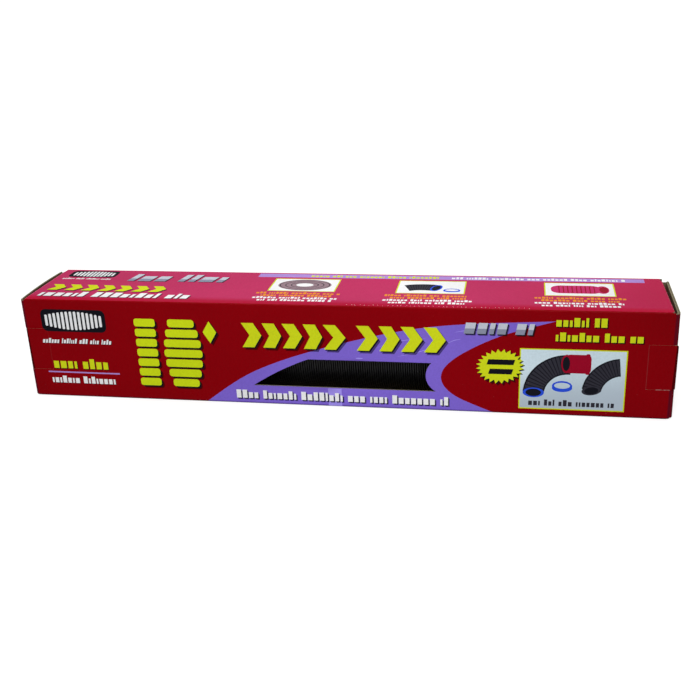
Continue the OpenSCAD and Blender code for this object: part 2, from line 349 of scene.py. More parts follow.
def front_wear(x, y, z, place):
    """Rubs the score that a lock tab turns on and the slit under the right one, in front only."""
    front = y.ramp(0.01, -0.01)
    tab = within(z, tab_low.z, tab_high.z, 0.4) * front
    score = ragged(place, abs(x).near(tab_low.x * MM, 0.0006), 0.36) * tab
    slit = ragged(place, z.near(tab_low.z * MM, 0.0007), 0.25) * within(x, tab_low.x + 9, TUBE)
    return (score * (x.ramp(-0.2, 0.2) * 0.015 + 0.02)).most(slit * front * 0.25)


def painted_fold_shade(x, y, z):
    """1 where the print is painted darker as shade: round the front wall's end folds, away from the lock
    tabs, and along its foot.
    """
    tab = within(z, tab_low.z, tab_high.z, 0.4)
    end = abs(x).ramp((FOLD_X - 0.5) * MM, (FOLD_X + 0.8) * MM) * (1 - tab)
    return end.most(z.ramp(2.4 * MM, 0.7 * MM) * 0.8)


def painted_shade_by_front_fold(x, y, z):
    """1 on an end flap next to its fold on the front wall, where its print is painted darker as shade."""
    return y.ramp((FOLD_Y + 7) * MM, (FOLD_Y + 1) * MM)


def top_wear(x, y, z, place):
    """Rubs the ends of the top wall and its back fold."""
    ends = ragged(place, abs(x).near((TUBE - 0.5) * MM, 0.0012), 0.2) * 0.3
    back = ragged(place, y.ramp((BACK - 1.2) * MM, (BACK - 0.2) * MM), 0.05) * 0.3
    return ends.most(back)


def flap_wear(x, y, z, place):
    """Rubs the fold between an end flap and its lip, which turns about LIP_X, LIP_Y."""
    low, high = 0.6, 1.8
    behind = y.ramp((LIP_Y + low) * MM, (LIP_Y + high) * MM)
    beside = abs(x).ramp((LIP_X + low) * MM, (LIP_X + high) * MM)
    return ragged(place, behind * beside, 0.06) * 0.3


def painted_sheen_falloff(x, y, z):
    """The top wall's red is painted paler and pinker as a sheen of the white surroundings; this is 1 where
    the painted sheen gives way to a fuller red: by its front fold and towards its right end.
    """
    return y.ramp((FRONT + 21) * MM, (FRONT + 4) * MM).most(x.ramp(0.10, 0.36) * 0.6)


def low_in_picture(x, y, z):
    """The ground of the front picture greys towards its foot and its right."""
    return (z - x * 0.12).ramp(0.028, -0.016)


def bare_board(name):
    """Unprinted brown liner with its fibres, painted darker than plain kraft as shade for the crevices at
    the carton's ends.
    """
    made, place, put = finish_of(name)
    x, y, z = place.axes()
    fibres = place.stretched(1.0, 1.0, 0.35).noise(900.0, 5.0, 0.7)
    cloud = place.noise(25.0, 3.0)
    fleck = place.noise(1500.0, 2.0).ramp(0.68, 0.76)
    tone = fibres.ramp(0.3, 0.75) * 0.6 + cloud.ramp(0.3, 0.7) * 0.4
    # Painted shade: both browns are darker than plain kraft.
    base = tone.tint((0.11, 0.077, 0.041), (0.22, 0.155, 0.086))
    put(Base_Color=fleck.tint(base, (0.055, 0.038, 0.020)), Roughness=fibres * 0.1 + 0.78)
    put(Specular_IOR_Level=0.15)
    relief = board_waves(x, z) * 0.8 + fibres * 0.8
    put(Normal=bumped(place, relief, 0.00006, 0.8))
    return made


def cut_edge(name):
    """Cut edge of the board: two liners with the fluted medium between them, and the flutes' hollows
    painted dark as shade.
    """
    made, place, put = finish_of(name)
    edge = place.node("ShaderNodeAttribute", {"attribute_name": "edge"}, out=1)
    run, depth, across = edge.axes()
    fibre = place.noise(1100.0, 4.0, 0.7)
    wander = place.noise(60.0, 2.0) * 1.4
    centre = (run * (2 * math.pi / FLUTE) + wander).sine() * 0.3 * across + 0.5
    medium = abs(depth - centre).ramp(0.17, 0.09)
    crushed = (1 - across) * place.noise(300.0, 3.0).ramp(0.35, 0.6) * 0.8
    liner = abs(depth - 0.5).ramp(0.33, 0.40)
    solid = medium.most(liner).most(crushed)
    paper = fibre.ramp(0.25, 0.8).tint((0.27, 0.235, 0.14), (0.50, 0.46, 0.30))
    # Painted shade: where no paper stands, the hollows of the flutes take a near-black brown.
    put(Base_Color=solid.tint((0.05, 0.04, 0.022), paper), Roughness=0.86)
    put(Specular_IOR_Level=0.1)
    put(Normal=bumped(place, solid + fibre * 0.3, 0.00025, 0.8))
    return made


def black_vinyl(name):
    """Soft black vinyl, fine grained and a little dusty."""
    made, place, put = finish_of(name)
    grain = place.noise(2600.0, 3.0, 0.6)
    dust = place.noise(45.0, 5.0, 0.65).ramp(0.45, 0.8)
    base = (dust * 0.5 + grain * 0.2).tint((0.003, 0.003, 0.0035), (0.012, 0.0115, 0.012))
    put(Base_Color=base, Roughness=dust * 0.14 + grain * 0.1 + 0.34, Specular_IOR_Level=0.22)
    put(Normal=bumped(place, grain, 0.00003, 0.6))
    return made


def ring_plastic(name):
    """Blue moulded plastic with rubbed patches."""
    made, place, put = finish_of(name)
    cloud = place.noise(60.0, 3.0)
    grain = place.noise(1800.0, 2.0)
    rub = place.noise(380.0, 4.0, 0.7).ramp(0.68, 0.8) * 0.35
    base = cloud.ramp(0.3, 0.7).tint((0.012, 0.05, 0.52), (0.018, 0.075, 0.70))
    put(Base_Color=rub.tint(base, (0.16, 0.22, 0.62)), Roughness=grain * 0.08 + rub * 0.4 + 0.2)
    put(Normal=bumped(place, grain, 0.00002, 0.5))
    return made


def wire_steel(name):
    """Spring steel with a thin film of oil and dust."""
    made, place, put = finish_of(name)
    drawn = place.noise(1500.0, 3.0)
    film = place.noise(700.0, 4.0).ramp(0.35, 0.7)
    base = film.tint((0.30, 0.30, 0.31), (0.15, 0.14, 0.13))
    put(Base_Color=base, Metallic=1.0, Roughness=drawn * 0.12 + film * 0.15 + 0.3)
    put(Normal=bumped(place, drawn, 0.00002, 0.5))
    return made


# Painted light: red and purple turn darker round the front wall's end folds and along its foot as painted
# shade; flap_red turns darker by its front fold as painted shade; top_red is painted paler and pinker as a
# sheen of the white surroundings, and turns a fuller red by its front fold and at its right end.
INKS = {
    "red": ((0.240, 0.0003, 0.003), front_wear, painted_fold_shade, (0.105, 0.002, 0.010)),
    "top_red": ((0.480, 0.029, 0.110), top_wear, painted_sheen_falloff, (0.43, 0.002, 0.032)),
    "flap_red": ((0.225, 0.0003, 0.003), flap_wear, painted_shade_by_front_fold, (0.13, 0.002, 0.008)),
    "purple": ((0.200, 0.126, 0.60), front_wear, painted_fold_shade, (0.09, 0.05, 0.27)),
    "pale_purple": ((0.33, 0.26, 0.78), front_wear),
    "lilac": ((0.40, 0.245, 0.62), top_wear),
    "yellow": ((0.60, 0.67, 0.012),),
    "lime": ((0.59, 0.71, 0.010),),
    "orange": ((0.74, 0.28, 0.02),),
    "white": ((0.82, 0.84, 0.88),),
    "silver": ((0.53, 0.56, 0.64),),
    "steel": ((0.25, 0.27, 0.36),),
    "dark": ((0.006, 0.006, 0.010),),
    "charcoal": ((0.030, 0.029, 0.040),),
    "soot": ((0.008, 0.008, 0.013),),
    "mist": ((0.60, 0.73, 0.80), None, low_in_picture, (0.44, 0.52, 0.60)),
    "snow": ((0.84, 0.84, 0.86),),
    "blue": ((0.025, 0.080, 0.66),),
    "rose_grey": ((0.28, 0.19, 0.22),),
    "crimson": ((0.31, 0.003, 0.020),),
    "rose": ((0.52, 0.025, 0.13),),
}
FINISH = {name: ink(f"{name}_ink", *about) for name, about in INKS.items()}
for name in ("red", "top_red", "flap_red", "purple", "pale_purple"):
    colour, wear = INKS[name][:2]
    FINISH[f"{name}_dusk"] = ink(f"{name}_dusk_ink", scaled(colour, DUSK), wear)
FINISH["board"] = bare_board("bare_board")
FINISH["edge"] = cut_edge("cut_edge")
FINISH["vinyl"] = black_vinyl("black_vinyl")
FINISH["ring"] = ring_plastic("ring_plastic")
FINISH["wire"] = wire_steel("wire_steel")


# ---- flat shapes for print and cuts; all lengths in millimetres ----

def bar(x0, y0, x1, y1, lean=0.0):
    """A bar that leans over by lean for each millimetre of its height."""
    return [(x0, y0), (x1, y0), (x1 + lean * (y1 - y0), y1), (x0 + lean * (y1 - y0), y1)]


def rounded_bar(x0, y0, x1, y1, radius, steps=4):
    loop = []
    for cx, cy, first in ((x1 - radius, y0 + radius, -90), (x1 - radius, y1 - radius, 0),
                          (x0 + radius, y1 - radius, 90), (x0 + radius, y0 + radius, 180)):
        for i in range(steps + 1):
            a = math.radians(first + 90 * i / steps)
            loop.append((cx + radius * math.cos(a), cy + radius * math.sin(a)))
    return loop


def oval(cx, cy, rx, ry=None, count=28, tilt=0.0):
    ry = rx if ry is None else ry
    loop = []
    for i in range(count):
        x, y = rx * math.cos(2 * math.pi * i / count), ry * math.sin(2 * math.pi * i / count)
        loop.append((cx + x * math.cos(tilt) - y * math.sin(tilt),
                     cy + x * math.sin(tilt) + y * math.cos(tilt)))
    return loop


def star(cx, cy, rx, ry, points, dent, tilt):
    """An oval burst: every second corner is drawn in to dent of its reach."""
    loop = []
    for i, (x, y) in enumerate(oval(cx, cy, rx, ry, 2 * points, tilt)):
        reach = dent if i % 2 else 1.0
        loop.append((cx + (x - cx) * reach, cy + (y - cy) * reach))
    return loop


def chevron(x0, y0, x1, y1, arm):
    middle = (y0 + y1) / 2
    return [(x0, y0), (x0 + arm, y0), (x1, middle), (x0 + arm, y1), (x0, y1), (x1 - arm, middle)]


def moved(loop, dx, dy):
    return [(x + dx, y + dy) for x, y in loop]


def smooth(points, steps=8):
    """A smooth line through points."""
    line = []
    for i in range(len(points) - 1):
        p = [points[min(max(i + k, 0), len(points) - 1)] for k in (-1, 0, 1, 2)]
        for s in range(steps):
            t = s / steps
            line.append(tuple(
                0.5 * (2 * p[1][k] + (p[2][k] - p[0][k]) * t
                       + (2 * p[0][k] - 5 * p[1][k] + 4 * p[2][k] - p[3][k]) * t * t
                       + (3 * p[1][k] - p[0][k] - 3 * p[2][k] + p[3][k]) * t ** 3)
                for k in (0, 1)))
    return line + [tuple(points[-1])]


def tapered_streak(points, width):
    """A slender streak that tapers to both ends of a smooth line."""
    line = smooth(points, 6)
    last = len(line) - 1
    upper = [(x, y + width * math.sin(math.pi * i / last)) for i, (x, y) in enumerate(line)]
    return line + upper[-2:0:-1]


def words(x0, x1, base, tall, seed, lean=0.0, weight=0.5):
    """A line of plain blocks that stands for small print. weight is a block's width to its height."""
    dice = random.Random(seed)
    gap, space, low = 0.17, 0.42, 0.72
    blocks = []
    x = x0
    left = dice.randint(3, 7)
    while x < x1:
        wide = tall * weight * dice.choice((0.5, 0.9, 1.0, 1.1))
        high = tall * dice.choice((low, low, 1.0))
        if x + wide > x1:
            break
        blocks.append(bar(x, base, x + wide, base + high, lean))
        x += wide + tall * gap
        left -= 1
        if left == 0:
            x += tall * space
            left = dice.randint(3, 8)
    return blocks


def painted(shapes, colour):
    return [(shape, colour) for shape in shapes]


def shadowed(shapes, colour, dx, dy, soft=0.0):
    """Shapes with a dark copy of each set behind them, and a paler one behind that."""
    art = painted([moved(shape, dx * soft, dy * soft) for shape in shapes], "shade") if soft else []
    return art + painted([moved(shape, dx, dy) for shape in shapes], "dark") + painted(shapes, colour)


def ribbed_bend(centre, radius, half, start, end, ribs):
    """A length of hose lying in a bend: dark, with a paler rib between each pair of valleys."""
    gap, reach = 0.24, half * 0.86

    def at(r, degrees):
        a = math.radians(degrees)
        return centre[0] + r * math.cos(a), centre[1] + r * math.sin(a)

    turns = spread(start, end, 2 * ribs)
    art = [([at(radius + half, a) for a in turns] + [at(radius - half, a) for a in turns[::-1]], "soot")]
    step = (end - start) / ribs
    for i in range(ribs):
        a0, a1 = start + i * step, start + (i + 1 - gap) * step
        art.append(([at(radius - reach, a0), at(radius + reach, a0),
                     at(radius + reach, a1), at(radius - reach, a1)], "charcoal"))
    return art


def open_end(cx, cy, rx, ry, rim, tilt=0.0):
    """The mouth of a hose: its rim and its dark bore."""
    return [(oval(cx, cy, rx, ry, tilt=tilt), rim), (oval(cx, cy, rx * 0.72, ry * 0.78, tilt=tilt), "soot")]


def loose_ring(cx, cy, rx, ry, ground):
    """A blue ring lying down, seen from above its rim."""
    return [(oval(cx, cy, rx, ry), "blue"), (oval(cx, cy - ry * 0.35, rx, ry * 0.75), "blue"),
            (oval(cx, cy + ry * 0.1, rx * 0.78, ry * 0.56), ground)]


def picture(x0, z0, x1, z1, border, ground):
    return [(bar(x0, z0, x1, z1), "yellow"),
            (bar(x0 + border, z0 + border, x1 - border, z1 - border), ground)]


# ---- board pieces ----

def turn_area(loop):
    return sum(a[0] * b[1] - b[0] * a[1] for a, b in zip(loop, loop[1:] + loop[:1])) / 2


def link(name, mesh, finishes, sharp=32.0):
    """Makes the object, with smooth faces parted where they meet at more than a slight angle."""
    for finish in finishes:
        mesh.materials.append(FINISH[finish])
    shape = bmesh.new()
    shape.from_mesh(mesh)
    for face in shape.faces:
        face.smooth = True
    for edge in shape.edges:
        edge.smooth = len(edge.link_faces) == 2 and edge.calc_face_angle(0.0) < math.radians(sharp)
    shape.to_mesh(mesh)
    shape.free()
    made = bpy.data.objects.new(name, mesh)
    bpy.context.scene.collection.objects.link(made)
    return made


def ink_of(layers, ground):
    """The ink that shows where prints lie on each other, top one first. Shade darkens what is
    under it."""
    dim = ""
    for colour in [*layers, ground]:
        if colour != "shade":
            return colour + dim if colour + dim in FINISH else colour
        dim = "_dusk"


def turned(loop):
    """The loop, anticlockwise."""
    return loop if turn_area(loop) >= 0 else loop[::-1]


def flat_mesh(outline, cuts, prints, rows, columns, grid):
    """Cuts the flat outline into faces along its cuts, prints, rows and columns. Gives the
    points and, for each face that stays, its corners and the prints that it lies in."""
    points, faces, edges = [], [], []
    for loop in [outline, *cuts, *prints]:
        faces.append(list(range(len(points), len(points) + len(loop))))
        points += turned(loop)
    us, vs = [p[0] for p in outline], [p[1] for p in outline]
    low_u, high_u, low_v, high_v = min(us), max(us), min(vs), max(vs)
    lines = [((low_u - 1, v), (high_u + 1, v)) for v in rows]
    lines += [((u, low_v - 1), (u, high_v + 1)) for u in columns]
    for line in lines:
        edges.append((len(points), len(points) + 1))
        points += line
    for i in range(1, int((high_u - low_u) / grid) + 1):
        for j in range(1, int((high_v - low_v) / grid) + 1):
            points.append((low_u + i * grid + (j % 2) * grid / 2, low_v + j * grid))
    flat, _, parts, _, _, origins = delaunay_2d_cdt([Vector(p) for p in points], edges, faces, 0, 1e-5)
    kept = []
    for part, origin in zip(parts, origins):
        area = turn_area([flat[i] for i in part])
        if 0 not in origin or abs(area) < 1e-7 or any(1 <= o <= len(cuts) for o in origin):
            continue
        inside = sorted((o - len(cuts) - 1 for o in origin if o > len(cuts)), reverse=True)
        kept.append((list(part) if area > 0 else list(part)[::-1], inside))
    return flat, kept


def rims(flat, parts):
    """Walks round every border. Gives each step's corners and its marks for the cut edge: the
    length before and after it, and how squarely it crosses the flutes."""
    onward = {}
    seen = {(part[k], part[(k + 1) % len(part)]) for part in parts for k in range(len(part))}
    for a, b in seen:
        if (b, a) not in seen:
            onward[a] = b
    while onward:
        a = next(iter(onward))
        run = 0.0
        while a in onward:
            b = onward.pop(a)
            step = flat[b] - flat[a]
            across = abs(step.x) / max(step.length, 1e-9)
            yield a, b, run, run + step.length, across
            run += step.length
            a = b


def board_faces(flat, parts, index):
    """Each face as its corners, its finish and its marks for the cut edge: first the outside, then
    the inside, then the cut edges between them."""
    count = len(index)
    faces = [([index[i] for i in part], colour, None) for part, colour in parts]
    faces += [([index[i] + count for i in part][::-1], "board", None) for part, _ in parts]
    for a, b, run, ahead, across in rims(flat, [part for part, _ in parts]):
        marks = [(ahead, 0.0, across), (run, 0.0, across), (run, 1.0, across), (ahead, 1.0, across)]
        faces.append(([index[b], index[a], index[a] + count, index[b] + count], "edge", marks))
    return faces


def looks_inward(points, corners, below):
    """Whether a face of the outside looks towards the point below its first corner."""
    a, b, c = (Vector(points[i]) for i in corners[:3])
    return (b - a).cross(c - a).dot(a - Vector(points[below])) < 0


def board_piece(name, outline, place, ground, prints=(), cuts=(), rows=(), columns=(),
                grid=16.0, thick=BOARD):
    """A piece of board. Its outline, cuts and prints are loops in the flat; place(u, v, depth)
    says where each point is once the board is folded."""
    flat, kept = flat_mesh(outline, cuts, [shape for shape, _ in prints], rows, columns, grid)
    parts = [(part, ink_of([prints[k][1] for k in inside], ground)) for part, inside in kept]
    used = sorted({i for part, _ in parts for i in part})
    points = [place(*flat[i], depth) for depth in (0.0, thick) for i in used]
    faces = board_faces(flat, parts, {old: new for new, old in enumerate(used)})
    first = faces[0][0]
    if looks_inward(points, first, first[0] + len(used)):
        faces = [(corners[::-1], finish, marks and marks[::-1]) for corners, finish, marks in faces]
    finishes = sorted({colour for _, colour in parts}) + ["board", "edge"]
    unmarked = (0.0, 0.0, 0.0)
    mesh = bpy.data.meshes.new(name)
    mesh.from_pydata([tuple(c * MM for c in p) for p in points], [], [face[0] for face in faces])
    mesh.polygons.foreach_set("material_index", [finishes.index(finish) for _, finish, _ in faces])
    values = [c for corners, _, marks in faces for mark in marks or [unmarked] * len(corners) for c in mark]
    mesh.attributes.new("edge", "FLOAT_VECTOR", "CORNER").data.foreach_set("vector", values)
    mesh.update()
    return link(name, mesh, finishes)


# ---- folded sections: each piece is its length and a function of the way along it, which gives
# a point, the way out, and how deep the board may go there ----

def arc_piece(centre, radius, start, end):
    """A fold, from angle start to angle end in degrees."""
    length = radius * abs(math.radians(end - start))

    def at(s):
        a = math.radians(start + (end - start) * s / length)
        out = (math.cos(a), math.sin(a))
        return (centre[0] + radius * out[0], centre[1] + radius * out[1]), out, radius * 0.98

    return length, at


def line_piece(start, end, out):
    """A straight run."""
    length = math.dist(start, end)

    def at(s):
        k = s / length
        return (start[0] + (end[0] - start[0]) * k, start[1] + (end[1] - start[1]) * k), out, math.inf

    return length, at


def curve_piece(points):
    """A smooth line through points, with its outside to the right."""
    line = [Vector(point) for point in smooth(points, 6)]
    along = [0.0]
    for a, b in zip(line, line[1:]):
        along.append(along[-1] + (b - a).length)

    def at(s):
        i = min(max(bisect.bisect_right(along, s) - 1, 0), len(line) - 2)
        step = line[i + 1] - line[i]
        point = line[i] + step * ((s - along[i]) / step.length)
        out = Vector((step.y, -step.x)).normalized()
        return tuple(point), tuple(out), math.inf

    return along[-1], at


def follow(pieces, s, depth):
    """The point s along a folded section and depth below its outside."""
    for length, at in pieces:
        if s <= length or at is pieces[-1][1]:
            point, out, room = at(s)
            depth = min(depth, room)
            return point[0] - out[0] * depth, point[1] - out[1] * depth
        s -= length


def spread(start, end, count):
    return [start + (end - start) * i / count for i in range(count + 1)]


def swell(x, z):
    """How far a long wall bows at a point, 0 along its folds, with slow and quick waves."""
    flat_end = 24
    across = math.cos(math.pi * (z / HEIGHT - 0.5))
    along = max(0.0, 1 - (x / (FOLD_X - flat_end)) ** 4)
    slow, quick = math.sin(x / 47 + 1.1), math.sin(x / 19)
    return across * along * (0.55 + 0.22 * slow + 0.16 * quick)


def wall_section(half):
    """Section of a long wall from one fold's middle to the next: across the wall and out of it."""
    return [
        arc_piece((EDGE_R - half, -EDGE_R), EDGE_R, 135, 90),
        line_piece((EDGE_R - half, 0), (half - EDGE_R, 0), (0, 1)),
        arc_piece((half - EDGE_R, -EDGE_R), EDGE_R, 90, 45),
    ]


def wall_rows(half):
    """Lines along a wall that keep its folds round."""
    start = -half + EDGE_R
    return [*[start - EDGE_LEN * k / 4 for k in (3, 2, 1, 0)],
            *[-start + EDGE_LEN * k / 4 for k in (0, 1, 2, 3)]]


def wall_point(half, v, depth):
    """v runs across the wall from its middle."""
    return follow(wall_section(half), v + half - EDGE_R + EDGE_LEN, depth)


def front_place(x, v, depth):
    """The front wall: v is the height above its middle."""
    if abs(x) <= FOLD_X + HAIR:
        z, out = wall_point(UP, v, depth)
        return x, FRONT - out - swell(x, z + UP), z + UP
    (px, py), (nx, ny), _ = arc_piece((FOLD_X, FOLD_Y), FOLD_R, -90, -45)[1](abs(x) - FOLD_X)
    return math.copysign(px - nx * depth, x), py - ny * depth, v + UP


def back_place(x, v, depth):
    """The back wall: v is the height above its middle."""
    z, out = wall_point(UP, v, depth)
    return x, BACK + out + swell(x, z + UP) * 0.7, z + UP


def flat_place(x, v, depth, sag):
    """The top or bottom wall, with the height above its own plane: v runs from its middle to the
    back."""
    y, out = wall_point(DEEP, v, depth)
    if abs(x) <= DUST_X + HAIR:
        return x, y + MIDDLE_Y, out - sag * swell(x, (y + DEEP) / (2 * DEEP) * HEIGHT)
    (px, pz), (nx, nz), room = arc_piece((DUST_X, -DUST_R), DUST_R, 90, 45)[1](abs(x) - DUST_X)
    depth = min(depth, room)
    return math.copysign(px - nx * depth, x), y + MIDDLE_Y, pz - nz * depth


def bulge(x):
    """How far the left end of the top wall stands out over its dust flap."""
    most, start, rise = 1.1, 270, 20
    return most * min(1.0, max(0.0, (-x - start) / rise))


def top_place(x, v, depth):
    px, py, out = flat_place(x, v, depth, 0.8)
    return px - bulge(x), py, HEIGHT + out


def bottom_place(x, v, depth):
    px, py, out = flat_place(x, v, depth, 0.0)
    return px, py, -out


# ---- window, purple band and print, with lengths across a wall measured from its edge ----

WINDOW = dict(left=-78.2, low=19.2, high=47.7, peak=-23.7, arch=1.8, bay_x=104.3, bay_z=35.0, bay_r=17.8)


def window_loop():
    """Straight along its foot and its head, hollow at the right and arched at the left."""
    left, low, high, peak, arch, bay_x, bay_z, bay_r = WINDOW.values()
    foot = bay_x - math.sqrt(bay_r ** 2 - (bay_z - low) ** 2)
    head = bay_x - math.sqrt(bay_r ** 2 - (high - bay_z) ** 2)
    start = math.atan2(low - bay_z, foot - bay_x)
    end = math.atan2(high - bay_z, head - bay_x) - 2 * math.pi
    loop = [(left, low), (foot, low)]
    loop += [(bay_x + bay_r * math.cos(a), bay_z + bay_r * math.sin(a)) for a in spread(start, end, 14)[1:]]
    loop.append((peak, high))
    run = Vector((left - peak, low - high))
    out = Vector((run.y, -run.x)).normalized()
    for k in spread(0, 1, 12)[1:-1]:
        loop.append(tuple(Vector((peak, high)) + run * k + out * arch * 4 * k * (1 - k)))
    return [(x, z - UP) for x, z in loop]


def to_wall(art, half):
    """Moves art drawn from a wall's edge to the wall's own middle."""
    return [(moved(shape, 0, -half), colour) for shape, colour in art]


def band():
    """The purple band that sweeps up from the foot, past the window, to the top."""
    outer = smooth([(-128, -1), (-76, 34), (0, 62), (92, 83), (202, 91)])
    inner = smooth([(202, 91), (152, 75), (113, 53), (100.5, 34), (113, 16), (152, -1)])
    return outer + inner[1:]


def ribbed_badge(x0, x1, z, tall, count):
    """White ribs that swell to the middle, on a dark round-cornered plate."""
    pitch, half = (x1 - x0) / count, tall * 0.6
    art = [(rounded_bar(x0 - 4, z - half, x1 + 2.4, z + half, half * 0.5, 6), "dark")]
    for i in range(count):
        high = tall * (0.55 + 0.45 * math.sin(math.pi * (i + 0.5) / count))
        rib = rounded_bar(x0 + i * pitch, z - high / 2, x0 + (i + 0.62) * pitch, z + high / 2, 1.0, 2)
        art.append((rib, "white"))
    return art


def big_figure():
    """A slender stack of slabs, a broad stack that swells to its middle, and a lozenge."""
    slabs, low, high, gap = 7, 15.0, 84.0, 2.2
    pitch = (high - low + gap) / slabs
    shapes = []
    for i in range(slabs):
        bottom = low + i * pitch
        top = bottom + pitch - gap
        half = 11.5 + 7.5 * math.sin(math.pi * (i + 0.5) / slabs)
        shapes.append(rounded_bar(-192, bottom, -171, top, 2.4))
        shapes.append(rounded_bar(-145.5 - half, bottom, -145.5 + half, top, 2.8))
    shapes.append([(-117.5, 61), (-110.8, 72), (-117.5, 83), (-124.2, 72)])
    return shadowed(shapes, "lime", 1.5, -1.4, 1.8)


def streaks():
    """Pale streaks on the purple band, and a painted highlight above the window."""
    art = []
    for line in ([(40, 61), (62, 68), (88, 72)], [(-8, 58), (2, 61), (12, 62)],
                 [(112, 78), (124, 80), (136, 79)], [(60, 53), (80, 58), (96, 64)],
                 [(104, 66), (112, 70), (119, 72)]):
        art.append((tapered_streak(line, 0.7), "pale_purple"))
    # Painted highlight: a small pale oval on the band just above the window's top edge.
    art.append((oval(25, 50.4, 3.4, 0.7), "pale_purple"))
    return art


def burst(x, z):
    """A yellow burst with two dark bars."""
    art = shadowed([star(x, z, 21.8, 17.0, 24, 0.8, 0.12)], "yellow", 0.9, -1.1, 2.2)
    for rise, reach in ((4.2, 12.0), (-5.0, 10.5)):
        art.append((moved(bar(-reach, -2.6, reach, 2.6, 0.3), x, z + rise), "dark"))
    return art


def front_print():
    """Print of the front wall, given from its middle."""
    art = [(band(), "purple"), (bar(-6, 0.6, 7, 18.6), "pale_purple")]
    art += streaks() + ribbed_badge(-283, -223, 80, 19, 14)
    art += shadowed(words(-289, -217, 56.5, 5.0, 11, 0.25, 0.42), "white", 0.5, -0.5)
    art += shadowed(words(-281, -220, 30.0, 10.5, 4, weight=0.52), "yellow", 0.8, -0.8)
    art.append((bar(-288, 25.2, -213, 26.6), "lilac"))
    art += shadowed(words(-285, -216, 14.4, 7.4, 6), "white", 0.5, -0.5)
    art += big_figure()
    starts = (-86, -66, -47, -27, -8, 23, 44, 64, 85)
    ends = (-67, -48, -28, -9, 13, 43, 63, 84, 105)
    heads = [chevron(x0, 58.2, x1, 82.4, 11.5) for x0, x1 in zip(starts, ends)]
    art += shadowed(heads, "yellow", 1.1, -1.2, 2.2)
    art += shadowed(words(-96, 112, 5.4, 8.6, 21, weight=0.48), "white", 0.8, -0.8, 1.8)
    art += silver_line(121, 192, 77.5, 14.5, 8)
    for end, base, seed in ((252, 86.2, 9), (279, 72.4, 10)):
        art += shadowed(words(202, end, base, 8.4, seed, weight=0.55), "yellow", 0.7, -0.7, 1.8)
    art += picture(171.2, 5.6, 264.8, 65, 1.1, "mist") + front_picture()
    return to_wall(art + burst(153.8, 46.6), UP)


def silver_line(x0, x1, base, tall, seed):
    """Leaning blocks of a bright metal colour whose feet are darker."""
    lean, blocks = 0.2, words(x0, x1, base, tall, seed, 0.2, 0.62)
    foot = tall * 0.34
    feet = [[(x, min(y, base + foot)) if y <= base else (x - lean * (y - base - foot), base + foot)
             for x, y in block] for block in blocks]
    return shadowed(blocks, "silver", 0.9, -0.9, 1.8) + painted(feet, "steel")


def front_picture():
    """Bent hoses with a ring on one mouth, a loose ring and a crimson cuff."""
    art = ribbed_bend((214, 20), 30, 9.5, 176, 84, 16)
    art += open_end(184.2, 22, 9.6, 4.8, "blue")
    art += ribbed_bend((262, 22), 27, 8.5, 172, 96, 13)
    art += open_end(235.3, 25.5, 8.6, 4.4, "charcoal", 0.14)
    art += painted([rounded_bar(212, 42, 234, 60, 3.5), rounded_bar(229, 41, 233, 61, 1.8)], "crimson")
    art += [(oval(212.5, 51, 4.6, 9.0), "crimson"), (oval(212.3, 51, 3.2, 6.8), "soot")]
    art += loose_ring(209.5, 29, 9.0, 5.2, "mist")
    return art + painted(words(180, 256, 9.2, 6.2, 31), "charcoal")


def top_print():
    """Print of the top wall, with depths measured back from its front fold."""
    # The top wall's share of its front fold takes the front's red, without the painted sheen of the top's
    # red.
    art = [(bar(-TUBE - 2, -EDGE_R, TUBE + 2, 1.5), "red")] + ribbed_badge(-286, -242, 83, 17, 12)
    art += painted(words(-292, -240, 65.5, 4.2, 41, 0.2, 0.4), "white")
    art += silver_line(-222, -112, 64, 22, 42)
    edges = spread(-292, -170, 7)
    heads = [chevron(x0, 30.5, x1 - 1.4, 48, 10) for x0, x1 in zip(edges, edges[1:])]
    art += shadowed(heads, "yellow", 1.0, -1.3, 2.0)
    art += shadowed(words(-293, -134, 12, 14.0, 44, 0.1), "white", 0.8, -1.0, 2.0)
    art.append((bar(-90, 83.5, 285, 94.5), "lilac"))
    art += painted(words(-36, 96, 86.2, 6.0, 45), "yellow")
    art += painted(words(104, 268, 86.2, 6.0, 46), "white")
    for x0, x1, motif in ((-70, -4, coil_motif), (54, 119, ring_motif), (192, 256, cuff_motif)):
        art += picture(x0, 41.5, x1, 79.5, 1.2, "snow") + motif((x0 + x1) / 2)
        for row, colour in enumerate(("orange", "orange", "white", "white")):
            trim, seed = 6 * (row % 2), 50 + row + x1
            line = words(x0 - 9 + trim, x1 + 8 - trim, 32.5 - row * 7, 5.4, seed)
            art += painted(line, colour)
    return to_wall(art + rubbed_specks(), DEEP)


def rubbed_specks():
    """A row of pale specks where the front fold has been rubbed."""
    dice = random.Random(5)
    specks = []
    for i in range(40):
        x = 14 + i * 4.2 + dice.uniform(-0.8, 0.8)
        specks.append((oval(x, 4.4 + dice.uniform(-0.7, 0.7), dice.uniform(0.25, 0.6), 0.3, 6), "snow"))
    return specks


def coil_motif(centre):
    """A flat coil of hose."""
    art = []
    for radius in (16.5, 13.0, 9.5):
        art += [(oval(centre, 60.5, radius * 1.6, radius), "rose_grey"),
                (oval(centre, 60.5, radius * 1.6 - 1.4, radius - 1.2), "soot"),
                (oval(centre, 60.5, radius * 1.6 - 2.2, radius - 1.9), "rose_grey")]
    return art + [(oval(centre, 60.5, 8.6, 5.0), "snow")]


def ring_motif(centre):
    """A bent hose with a blue ring in its mouth, and a loose ring."""
    art = ribbed_bend((centre - 8, 20), 40, 9, 112, 72, 12)
    art += open_end(centre + 5, 58, 5.2, 9.4, "blue", -0.3)
    return art + loose_ring(centre + 20, 52, 8, 5, "snow")


